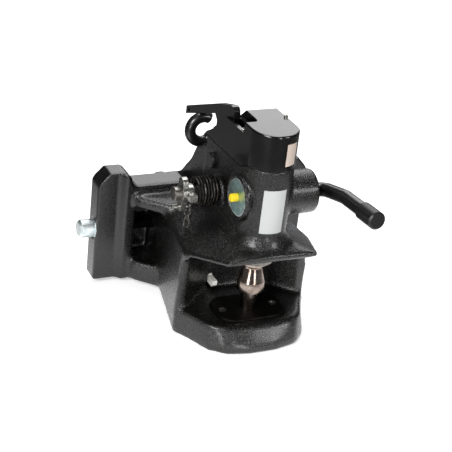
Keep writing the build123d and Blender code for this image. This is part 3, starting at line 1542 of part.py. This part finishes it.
with BuildPart() as trigger_spring:
    trigger_coil_length = trigger_coil_room - 3
    trigger_coil = coil_points(
        trigger_coil_turns,
        trigger_coil_length / trigger_coil_turns,
        trigger_pin_radius + trigger_wire + 0.5,
        small_coil_corners,
        Vector(trigger_left - 1.5, trigger_pivot_y, trigger_pivot_z),
        Vector(-1, 0, 0),
    )
    with BuildLine():
        Polyline(*trigger_coil)
    with BuildSketch(Plane(origin=trigger_coil[0], z_dir=trigger_coil[1] - trigger_coil[0])):
        RegularPolygon(trigger_wire, wire_sides)
    sweep(transition=Transition.RIGHT)
trigger_spring.part.label = "trigger_spring"
export_step(trigger_spring.part, "parts/trigger_spring.step")
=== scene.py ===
import math

import bmesh
import bpy
import numpy as np
from mathutils import Matrix, Vector


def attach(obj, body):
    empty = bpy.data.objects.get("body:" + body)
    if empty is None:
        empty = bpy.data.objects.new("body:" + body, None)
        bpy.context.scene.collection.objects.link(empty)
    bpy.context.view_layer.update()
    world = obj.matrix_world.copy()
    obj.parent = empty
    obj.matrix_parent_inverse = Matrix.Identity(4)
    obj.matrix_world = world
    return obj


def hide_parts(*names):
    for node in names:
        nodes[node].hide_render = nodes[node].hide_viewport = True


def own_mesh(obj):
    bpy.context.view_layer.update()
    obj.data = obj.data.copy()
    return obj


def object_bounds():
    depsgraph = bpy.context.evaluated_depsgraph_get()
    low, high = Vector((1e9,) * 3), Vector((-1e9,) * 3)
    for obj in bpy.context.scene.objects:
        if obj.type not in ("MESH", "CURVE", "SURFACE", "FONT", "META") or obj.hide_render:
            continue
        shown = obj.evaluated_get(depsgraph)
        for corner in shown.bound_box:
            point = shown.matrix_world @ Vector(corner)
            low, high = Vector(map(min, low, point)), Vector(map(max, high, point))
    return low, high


MM = 0.001

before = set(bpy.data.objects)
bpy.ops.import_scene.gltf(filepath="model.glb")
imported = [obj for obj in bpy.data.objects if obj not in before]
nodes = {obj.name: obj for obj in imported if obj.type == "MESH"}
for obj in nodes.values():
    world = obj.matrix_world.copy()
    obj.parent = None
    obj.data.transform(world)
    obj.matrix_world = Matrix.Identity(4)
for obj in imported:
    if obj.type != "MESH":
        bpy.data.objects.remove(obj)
cad_low, cad_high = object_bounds()

# Places on the coupling, in millimetres: the coupling pin stands on the Z axis, the mouth opens towards -Y.
TOWER_RADIUS = 31.0
TOWER_NOSE_Y = -8.4
HAND_Z = 118.7
DISC_FACE_RADIUS = 22.4
LOCKING_PIN_IN_PLATE = 150.0

# A Wave texture of scale 1 has about three bands in each unit of length
WAVE_BANDS = 3


# Colour and materials


def linear(code):
    """Linear RGBA of an sRGB hex colour."""
    channels = [int(code[i : i + 2], 16) / 255 for i in (1, 3, 5)]
    return [c / 12.92 if c <= 0.04045 else ((c + 0.055) / 1.055) ** 2.4 for c in channels] + [1.0]


def add(tree, kind, inputs=None, **settings):
    """Adds a node; an input is a value, or a socket to link from."""
    node = tree.nodes.new(kind)
    for name, value in settings.items():
        setattr(node, name, value)
    for key, value in (inputs or {}).items():
        socket = node.inputs[key]
        if isinstance(value, bpy.types.NodeSocket):
            tree.links.new(value, socket)
        else:
            socket.default_value = value
    return node


def ramp(tree, factor, *stops):
    """Colour ramp through (position, hex or grey level) stops."""
    node = add(tree, "ShaderNodeValToRGB", {"Fac": factor})
    elements = node.color_ramp.elements
    while len(elements) < len(stops):
        elements.new(0.5)
    for element, (place, tone) in zip(elements, stops):
        element.position = place
        element.color = linear(tone) if isinstance(tone, str) else [tone, tone, tone, 1]
    return node.outputs["Color"]


def new_material(name):
    """Material with a Principled shader; returns it with its tree, shader and object coordinates."""
    material = bpy.data.materials.new(name)
    material.use_nodes = True
    tree = material.node_tree
    shader = tree.nodes["Principled BSDF"]
    place = add(tree, "ShaderNodeTexCoord").outputs["Object"]
    return material, tree, shader, place


def noise(tree, place, size_mm, detail=2.0, rough=0.5):
    """Noise whose blotches are about size_mm wide."""
    settings = {"Vector": place, "Scale": 1 / (size_mm * MM), "Detail": detail, "Roughness": rough}
    return add(tree, "ShaderNodeTexNoise", settings).outputs["Fac"]


def bumps(tree, height, depth_mm, strength=1.0, normal=None):
    """Bump whose full height is depth_mm."""
    inputs = {"Height": height, "Distance": depth_mm * MM, "Strength": strength}
    if normal is not None:
        inputs["Normal"] = normal
    return add(tree, "ShaderNodeBump", inputs).outputs["Normal"]


def worn_edges(tree, radius_mm):
    """Normals rounded over radius_mm at sharp edges."""
    return add(tree, "ShaderNodeBevel", {"Radius": radius_mm * MM}, samples=4).outputs["Normal"]


def painted_iron(name, tone, peak_tone, grain_mm, grain_deep, wave_deep, rough):
    """Black enamel over iron: the grain below shows through as bumps that sparkle, its peaks are painted
    lighter in blotches as dust and as painted glints, and the paint pools into soft waves that break up the
    highlights."""
    material, tree, shader, place = new_material(name)
    grain = noise(tree, place, grain_mm, detail=3.0, rough=0.6)
    wave = noise(tree, place, size_mm=8.0, detail=1.0)
    dust = noise(tree, place, size_mm=30.0, detail=4.0, rough=0.65)
    # The grain's peaks are painted lighter in blotches: dust, and painted glints of the enamel's sparkle
    peaks = ramp(tree, grain, (0.45, 0.0), (0.7, 1.0))
    dust_and_glint = add(tree, "ShaderNodeMath", {0: peaks, 1: dust}, operation="MULTIPLY").outputs[0]
    tree.links.new(ramp(tree, dust_and_glint, (0.1, tone), (0.75, peak_tone)), shader.inputs["Base Color"])
    tree.links.new(ramp(tree, grain, (0.35, rough + 0.22), (0.62, rough - 0.1)), shader.inputs["Roughness"])
    swell = bumps(tree, wave, wave_deep, 0.8, worn_edges(tree, 1.2))
    tree.links.new(bumps(tree, grain, grain_deep, 1.0, swell), shader.inputs["Normal"])
    shader.inputs["Coat Weight"].default_value = 0.3
    shader.inputs["Coat Roughness"].default_value = 0.18
    return material


def gloss_enamel(name, tone, rough):
    """Black enamel on smooth parts: a gloss with a faint orange peel, and a haze of handling marks."""
    material, tree, shader, place = new_material(name)
    shader.inputs["Base Color"].default_value = linear(tone)
    peel = noise(tree, place, size_mm=3.0, detail=1.0)
    haze = noise(tree, place, size_mm=22.0, detail=3.0)
    tree.links.new(ramp(tree, haze, (0.35, rough), (0.8, rough + 0.1)), shader.inputs["Roughness"])
    tree.links.new(bumps(tree, peel, 0.12, 0.5, worn_edges(tree, 1.0)), shader.inputs["Normal"])
    shader.inputs["Coat Weight"].default_value = 0.4
    shader.inputs["Coat Roughness"].default_value = 0.08
    return material


def bare_metal(
    name, dark, bright, rough, patch_mm, groove_axis=None, groove_mm=0.9, painted_shade_within_mm=0, edge_mm=0.5
):
    """Bare or plated metal: cloudy tone, uneven roughness, and turning marks around groove_axis if given."""
    material, tree, shader, place = new_material(name)
    shader.inputs["Metallic"].default_value = 1.0
    cloud = noise(tree, place, patch_mm, detail=4.0, rough=0.6)
    colour = ramp(tree, cloud, (0.3, dark), (0.7, bright))
    if painted_shade_within_mm:
        # The length of a locking pin that stays in the plate is painted dark: painted shade of the plate's
        # pocket, where the pin lies in shadow
        across = add(tree, "ShaderNodeSeparateXYZ", {0: place}).outputs["X"]
        reach = add(tree, "ShaderNodeMath", {0: across}, operation="ABSOLUTE").outputs[0]
        outside = add(tree, "ShaderNodeMath", {0: reach, 1: painted_shade_within_mm * MM}, operation="GREATER_THAN")
        mix = add(tree, "ShaderNodeMix", {0: outside.outputs[0]}, data_type="RGBA")
        mix.inputs[6].default_value = linear("#0e0e0e")
        tree.links.new(colour, mix.inputs[7])
        colour = mix.outputs[2]
    tree.links.new(colour, shader.inputs["Base Color"])
    tree.links.new(ramp(tree, cloud, (0.3, rough + 0.1), (0.7, rough)), shader.inputs["Roughness"])
    normal = worn_edges(tree, edge_mm)
    if groove_axis is not None:
        wave = add(
            tree,
            "ShaderNodeTexWave",
            {"Vector": place, "Scale": 1 / (groove_mm * MM * WAVE_BANDS), "Distortion": 0.4, "Detail": 1.0},
            bands_direction=groove_axis,
        )
        normal = bumps(tree, wave.outputs["Fac"], 0.03, 0.6, normal)
    tree.links.new(normal, shader.inputs["Normal"])
    return material


def brighten_rim(material, middle_mm, inner_mm, tone):
    """Gives a disc that faces along X a paler rim outside the radius inner_mm."""
    tree = material.node_tree
    colour = tree.nodes["Principled BSDF"].inputs["Base Color"]
    face = colour.links[0].from_socket
    place = add(tree, "ShaderNodeTexCoord").outputs["Object"]
    middle = [c * MM for c in middle_mm]
    flat = add(tree, "ShaderNodeVectorMath", {0: place, 1: (0, 1, 1)}, operation="MULTIPLY").outputs[0]
    offset = add(tree, "ShaderNodeVectorMath", {0: flat, 1: middle}, operation="SUBTRACT").outputs[0]
    reach = add(tree, "ShaderNodeVectorMath", {0: offset}, operation="LENGTH").outputs["Value"]
    outside = add(tree, "ShaderNodeMath", {0: reach, 1: inner_mm * MM}, operation="GREATER_THAN").outputs[0]
    mix = add(tree, "ShaderNodeMix", {0: outside}, data_type="RGBA")
    tree.links.new(face, mix.inputs[6])
    mix.inputs[7].default_value = linear(tone)
    tree.links.new(mix.outputs[2], colour)


def moulded(name, tone, rough, grain_mm):
    """Moulded plastic, rubber or film in one colour with a fine grain."""
    material, tree, shader, place = new_material(name)
    shader.inputs["Base Color"].default_value = linear(tone)
    shader.inputs["Roughness"].default_value = rough
    grain = noise(tree, place, grain_mm)
    tree.links.new(bumps(tree, grain, 0.05, 0.6, worn_edges(tree, 0.4)), shader.inputs["Normal"])
    return material


# Sand-cast iron under black enamel sparkles all over. The sand's grain is about half a millimetre, and is
# drawn coarser so that it shows.
cast_paint = painted_iron(
    "black_enamel_on_cast_iron",
    "#030303",
    "#24231d",
    grain_mm=1.8,
    grain_deep=0.85,
    wave_deep=0.4,
    rough=0.24,
)
# The same enamel on milled iron lies flat, so the eye sees broad, slightly uneven sheens
milled_paint = painted_iron(
    "black_enamel_on_milled_iron",
    "#050505",
    "#0b0b0b",
    grain_mm=1.2,
    grain_deep=0.1,
    wave_deep=0.2,
    rough=0.24,
)
# Sprayed enamel on the smooth cover has a deep gloss that mirrors the room
smooth_paint = gloss_enamel("gloss_black_enamel", "#040404", 0.15)
# Dipped enamel on bent bar is satin, with long soft highlights
bar_paint = gloss_enamel("satin_black_enamel", "#070707", 0.32)
# Hardened and ground steel is bright with a warm tint from heat; its turning marks are drawn coarse to show
pin_steel = bare_metal(
    "ground_steel_warm_tint", "#5e5047", "#b8aaa0", 0.13, 14.0, groove_axis="Z", groove_mm=2.4
)
# Steel under old grease is nearly black, with a dull sheen
greased_steel = bare_metal("greased_wear_steel", "#121211", "#232220", 0.52, 12.0, edge_mm=2.0)
# Machined steel kept in oil is a cloudy mid grey
oiled_steel = bare_metal("oiled_machined_steel", "#55524e", "#8b8883", 0.32, 9.0)
# Oil-tempered spring wire is brown-black, and shines along the tops of its turns
spring_wire = bare_metal("oil_tempered_wire", "#1b1a18", "#454340", 0.3, 5.0)
# Fresh zinc plate is light grey and catches points of light
bright_zinc = bare_metal("bright_zinc_plate", "#7d7c78", "#cfcdc8", 0.24, 4.0)
# Zinc plate that has stood outdoors is darker and blotched
dull_zinc = bare_metal("weathered_zinc_plate", "#4b4944", "#8f8c85", 0.34, 3.0)
# Blue-passivated zinc on turned pins is nearly white, and painted dark as painted shade where the pins lie in
# the plate; its turning marks are drawn coarse to show
pin_zinc = bare_metal(
    "blue_passivated_zinc",
    "#c3d0d4",
    "#f2f8f8",
    0.42,
    9.0,
    groove_axis="X",
    groove_mm=1.4,
    painted_shade_within_mm=LOCKING_PIN_IN_PLATE,
)
# Green-passivated zinc on the stamped disc is blue-green, with a paler ring at its rim
disc_zinc = bare_metal("green_passivated_zinc", "#7aa5a6", "#c4dcd8", 0.36, 9.0)
brighten_rim(disc_zinc, (0, 0, HAND_Z), DISC_FACE_RADIUS, "#eef6f4")
# Sintered bronze is warm, matt and finely mottled
bronze = bare_metal("sintered_bronze", "#7d5a2c", "#b08a4c", 0.42, 3.0)
# Moulded plastic has a soft shine and an even, strong colour
yellow_plastic = moulded("yellow_moulded_plastic", "#f0cf1c", 0.34, 1.5)
# Zinc flake coating is a light, matt grey
flake_coat = moulded("light_zinc_flake_coat", "#f4f3ec", 0.45, 1.5)
# Moulded grips are charcoal, with a fine grain
black_grip = moulded("black_moulded_grip", "#0d0d0e", 0.4, 1.0)
# Moulded rubber is dull and dark
black_rubber = moulded("black_rubber", "#101010", 0.62, 0.8)
# Polyester film is smooth and slightly glossy, in pale grey and in faded cream
label_film = moulded("blank_label_film", "#b9bcbb", 0.42, 4.0)
cream_film = moulded("blank_cream_label_film", "#cdbdb1", 0.42, 4.0)

FINISHES = {
    cast_paint: ["body_casting"],
    milled_paint: ["slider_lid"],
    smooth_paint: ["tower_cover"],
    greased_steel: ["wear_plate"],
    bar_paint: ["hand_lever", "remote_lever", "rope_hook", "cross_pin"],
    pin_steel: ["coupling_pin"],
    oiled_steel: [
        "upper_bush", "lower_bush", "wear_screws", "lifting_finger", "finger_pins", "lifting_shaft",
        "drag_link", "drive_crank", "crank_pin", "cross_spacer", "lock_stud_left", "lock_stud_right",
        "lock_slider", "lock_rod", "trigger_pin",
    ],
    spring_wire: ["closing_spring", "lock_spring", "trigger_spring", "cross_ring"],
    bright_zinc: ["cover_screws", "shaft_clamp", "clamp_screw", "stop_pin", "lid_screws"],
    dull_zinc: ["safety_chain"],
    pin_zinc: ["locking_pin_left", "locking_pin_right"],
    disc_zinc: ["indicator_disc"],
    bronze: ["lifting_bush", "hand_bush"],
    yellow_plastic: ["control_pin"],
    flake_coat: ["trigger"],
    black_grip: ["lever_grip", "lock_knob"],
    black_rubber: ["hand_seal"],
}
for finish, names in FINISHES.items():
    for name in names:
        mesh = nodes[name].data
        mesh.materials.clear()
        mesh.materials.append(finish)


# Pieces


def piece(name, shape, finish, body, smooth=True):
    """Makes the finished bmesh a piece that rides on a CAD body."""
    mesh = bpy.data.meshes.new(name)
    bmesh.ops.recalc_face_normals(shape, faces=shape.faces)
    shape.to_mesh(mesh)
    shape.free()
    mesh.materials.append(finish)
    for polygon in mesh.polygons:
        polygon.use_smooth = smooth
    made = bpy.data.objects.new(name, mesh)
    bpy.context.scene.collection.objects.link(made)
    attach(made, body)
    return made


def copy_of(node):
    """A merged copy of a CAD node's mesh."""
    shape = bmesh.new()
    shape.from_mesh(nodes[node].data)
    bmesh.ops.remove_doubles(shape, verts=shape.verts, dist=0.002 * MM)
    return shape


def remeshed(node, voxel_mm):
    """A copy of a CAD node with an even mesh, so that its edges can be softened as in sand casting."""
    shape = copy_of(node)
    mesh = bpy.data.meshes.new(node + "_even")
    shape.to_mesh(mesh)
    shape.free()
    rough = bpy.data.objects.new(node + "_even", mesh)
    bpy.context.scene.collection.objects.link(rough)
    modifier = rough.modifiers.new("even", "REMESH")
    modifier.mode = "VOXEL"
    modifier.voxel_size = voxel_mm * MM
    graph = bpy.context.evaluated_depsgraph_get()
    even = bpy.data.meshes.new_from_object(rough.evaluated_get(graph))
    bpy.data.objects.remove(rough)
    shape = bmesh.new()
    shape.from_mesh(even)
    bpy.data.meshes.remove(even)
    return shape


# How far the casting's edges are softened: (lowest corner, highest corner) in millimetres, passes, and how
# much of each pass is taken back so that the form keeps its size; the first box that holds a point counts
SOFTENING = [
    # Machined faces: bosses of disc, hand lever and lifting shaft, bore of the cross pin, seat of the lid,
    # pocket of the wear plate
    ((-37, -30, 90), (-20, 30, 148), 1, 0.4),
    ((60, -29, 89), (69, 29, 148), 1, 0.4),
    ((-37, 40, 80), (-20, 80, 120), 1, 0.4),
    ((-34, 70, 116), (34, 102, 145), 1, 0.4),
    ((-60, 182, -74), (60, 200, 70), 1, 0.4),
    ((-50, -34, -50), (50, 34, -44), 1, 0.4),
    # Collar of the pin's guide, then the tower's foot, which runs out into the upper lip
    ((-26, -26, 5), (26, 26, 36), 2, 0.4),
    ((-60, -60, 30), (60, 60, 74), 50, 0.3),
    # Seat of the cover, both guide tongues and the plate's top edge
    ((-32, -42, 150), (32, 112, 170), 1, 0.4),
    ((-160, 150, -80), (-110, 200, 90), 2, 0.4),
    ((110, 150, -80), (160, 200, 90), 2, 0.4),
    ((-126, 148, 58), (126, 200, 90), 2, 0.4),
    # Lower lip, jaw floor, walls with the upper lip, and neck
    ((-100, -72, -85), (100, -36, -20), 60, 0.22),
    ((-100, -72, -85), (100, 66, -20), 30, 0.3),
    ((-100, -72, -20), (100, 66, 78), 26, 0.3),
    ((-112, 66, -80), (112, 153, 78), 40, 0.3),
]
OTHERWISE = (9, 0.4)
SMOOTHING_STEP = 0.55


def softening_at(points):
    """Passes, and share taken back, for each point in metres."""
    passes = np.full(len(points), OTHERWISE[0])
    back = np.full(len(points), OTHERWISE[1])
    undecided = np.ones(len(points), dtype=bool)
    for low, high, count, kept in SOFTENING:
        held = undecided & np.all((points > np.array(low) * MM) & (points < np.array(high) * MM), axis=1)
        passes[held] = count
        back[held] = kept
        undecided &= ~held
    return passes, back[:, None]


def softened(shape):
    """Rounds the edges of an even mesh: a pass forward, then a smaller one back to hold its size."""
    shape.verts.ensure_lookup_table()
    points = np.array([v.co for v in shape.verts])
    ends = np.array([(e.verts[0].index, e.verts[1].index) for e in shape.edges])
    passes, back = softening_at(points)
    size = len(points)
    shared = np.bincount(ends.ravel(), minlength=size)[:, None]
    for step in range(passes.max()):
        busy = (passes > step)[:, None]
        for factor in (SMOOTHING_STEP, -back):
            total = np.empty_like(points)
            for axis in range(3):
                total[:, axis] = np.bincount(ends[:, 0], points[ends[:, 1], axis], size) + np.bincount(
                    ends[:, 1], points[ends[:, 0], axis], size
                )
            points = points + busy * factor * (total / shared - points)
    for vertex, place in zip(shape.verts, points):
        vertex.co = place
    return shape


casting = softened(remeshed("body_casting", voxel_mm=2.0))
casting_skin = piece("casting_skin", casting, cast_paint, "coupler")
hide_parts("body_casting")

# The plate is milled all over, the rest of the casting is left as cast. Just behind the plate's front, faces
# that look up or down still belong to what is cast on it.
PLATE_FRONT_Y = 151.5
CAST_END_Y = 160.0
LOOKS_UP = 0.6
casting_skin.data.materials.append(milled_paint)
for polygon in casting_skin.data.polygons:
    on_plate = polygon.center.y > PLATE_FRONT_Y * MM and abs(polygon.normal.z) < LOOKS_UP
    if on_plate or polygon.center.y > CAST_END_Y * MM:
        polygon.material_index = 1

# The spring of the release slider is a copy with a mesh of its own
slider_coil = piece("slider_coil", copy_of("lock_spring"), spring_wire, "coupler")
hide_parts("lock_spring")
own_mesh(slider_coil)


# Label film stands this far off the iron, and is this thick
FILM_GAP = 0.1
FILM_THICKNESS = 0.25


def label_on_round(name, film, start_deg, end_deg, low_z, high_z):
    """Blank film wrapped on the rounded front of the tower; angles are counted from the front, to +X."""
    shape = bmesh.new()
    radius = (TOWER_RADIUS + FILM_GAP) * MM
    axis = Vector((0, TOWER_NOSE_Y * MM, 0))
    turn = math.radians(start_deg)
    foot = axis + Vector((math.sin(turn), -math.cos(turn), 0)) * radius
    ends = [shape.verts.new(foot + Vector((0, 0, z * MM))) for z in (low_z, high_z)]
    edge = shape.edges.new(ends)
    bmesh.ops.spin(
        shape,
        geom=[edge, *ends],
        cent=axis,
        axis=(0, 0, 1),
        angle=math.radians(end_deg - start_deg),
        steps=12,
        use_duplicate=False,
    )
    bmesh.ops.recalc_face_normals(shape, faces=shape.faces)
    bmesh.ops.solidify(shape, geom=shape.faces[:], thickness=FILM_THICKNESS * MM)
    return piece(name, shape, film, "coupler", smooth=False)


label_on_round("tower_label", label_film, start_deg=-33.0, end_deg=24.0, low_z=84.0, high_z=142.5)
label_on_round("cover_label", cream_film, start_deg=8.5, end_deg=40.0, low_z=174.0, high_z=203.0)


# Floor, light and camera

FLOOR_HALF = 12.0
floor_z = cad_low.z
floor_mesh = bpy.data.meshes.new("floor")
floor_shape = bmesh.new()
bmesh.ops.create_grid(floor_shape, x_segments=1, y_segments=1, size=FLOOR_HALF)
bmesh.ops.translate(floor_shape, verts=floor_shape.verts, vec=(0, 0, floor_z))
floor_shape.to_mesh(floor_mesh)
floor_shape.free()
floor = bpy.data.objects.new("floor", floor_mesh)
bpy.context.scene.collection.objects.link(floor)

# White paper for the camera. In reflections it is only a sheet around the coupling: all white up to the first
# reach and dark beyond the second, in metres.
SHEET_REACH = (0.22, 0.6)
GLOW_REACH = (0.5, 2.0)
floor_material, floor_tree, floor_shader, floor_place = new_material("white_paper_floor")
distance = add(floor_tree, "ShaderNodeVectorMath", {0: floor_place}, operation="LENGTH").outputs["Value"]
near, far = SHEET_REACH
sheet = add(
    floor_tree,
    "ShaderNodeMapRange",
    {"Value": distance, "From Min": near, "From Max": far, "To Min": 1.0, "To Max": 0.08},
)
looked_at = add(floor_tree, "ShaderNodeLightPath").outputs["Is Camera Ray"]
lit = add(floor_tree, "ShaderNodeMath", {0: sheet.outputs[0], 1: looked_at}, operation="MAXIMUM").outputs[0]
floor_tone = ramp(floor_tree, lit, (0.0, 0.0), (1.0, 0.9))
floor_tree.links.new(floor_tone, floor_shader.inputs["Base Color"])
floor_shader.inputs["Roughness"].default_value = 0.9
floor_tree.links.new(floor_tone, floor_shader.inputs["Emission Color"])
near, far = GLOW_REACH
glow = add(
    floor_tree,
    "ShaderNodeMapRange",
    {"Value": distance, "From Min": near, "From Max": far, "To Min": 0.5, "To Max": 1.2},
)
floor_tree.links.new(glow.outputs[0], floor_shader.inputs["Emission Strength"])
floor_mesh.materials.append(floor_material)

# The room is dim for the coupling and white behind it
ROOM_LIGHT = 0.08
world = bpy.data.worlds.new("studio")
bpy.context.scene.world = world
world.use_nodes = True
sky = world.node_tree
sky.nodes["Background"].inputs["Color"].default_value = linear("#eef0f2")
sky.nodes["Background"].inputs["Strength"].default_value = ROOM_LIGHT
seen = add(sky, "ShaderNodeBackground", {"Color": [1, 1, 1, 1], "Strength": 1.0})
rays = add(sky, "ShaderNodeLightPath")
direct = add(
    sky,
    "ShaderNodeMath",
    {0: rays.outputs["Is Camera Ray"], 1: rays.outputs["Is Transmission Ray"]},
    operation="MAXIMUM",
)
blend = add(
    sky,
    "ShaderNodeMixShader",
    {0: direct.outputs[0], 1: sky.nodes["Background"].outputs[0], 2: seen.outputs[0]},
)
sky.links.new(blend.outputs[0], sky.nodes["World Output"].inputs["Surface"])


def lamp(name, place, aim, width, height, power):
    """Soft box at place, turned towards aim, in metres and watts."""
    light = bpy.data.lights.new(name, "AREA")
    light.shape = "RECTANGLE"
    light.size = width
    light.size_y = height
    light.energy = power
    holder = bpy.data.objects.new(name, light)
    holder.location = place
    holder.rotation_euler = (Vector(aim) - Vector(place)).to_track_quat("-Z", "Y").to_euler()
    bpy.context.scene.collection.objects.link(holder)


lamp("key_soft_box", (-1.5, -1.0, 1.3), (0, 0.05, 0.05), 0.8, 0.8, 40)
lamp("fill_soft_box", (1.2, -1.6, 1.0), (0, 0.05, 0.05), 0.6, 0.6, 16)
lamp("top_soft_box", (0.2, 0.6, 1.9), (0, 0.05, 0.05), 1.0, 1.0, 26)
lamp("back_soft_box", (0.95, 1.65, 1.15), (0, 0.05, 0.05), 1.4, 1.4, 14)
lamp("left_strip_box", (-1.15, -1.1, 0.16), (0, 0, 0), 0.3, 0.6, 6)
lamp("front_strip_box", (0.15, -1.6, 0.16), (0, 0, 0), 0.2, 0.6, 6)

# The camera's place and turn were found from edges of the plate, jaw and tower in the photograph
CAMERA_PLACE = Vector((-0.66719, -1.19471, 0.76627))
CAMERA_RIGHT = Vector((0.9057, -0.4100, 0.1074))
CAMERA_UP = Vector((0.1013, 0.4554, 0.8845))
FOCAL_PX = 1216.9
PHOTO_PX = 452
SENSOR = 36.0

lens = bpy.data.cameras.new("camera")
lens.sensor_width = SENSOR
lens.lens = FOCAL_PX * SENSOR / PHOTO_PX
camera = bpy.data.objects.new("camera", lens)
right = CAMERA_RIGHT.normalized()
back = right.cross(CAMERA_UP).normalized()
up = back.cross(right)
camera.matrix_world = Matrix.Translation(CAMERA_PLACE) @ Matrix((right, up, back)).transposed().to_4x4()
bpy.context.scene.collection.objects.link(camera)
bpy.context.scene.camera = camera
bpy.context.scene.view_settings.view_transform = "Standard"
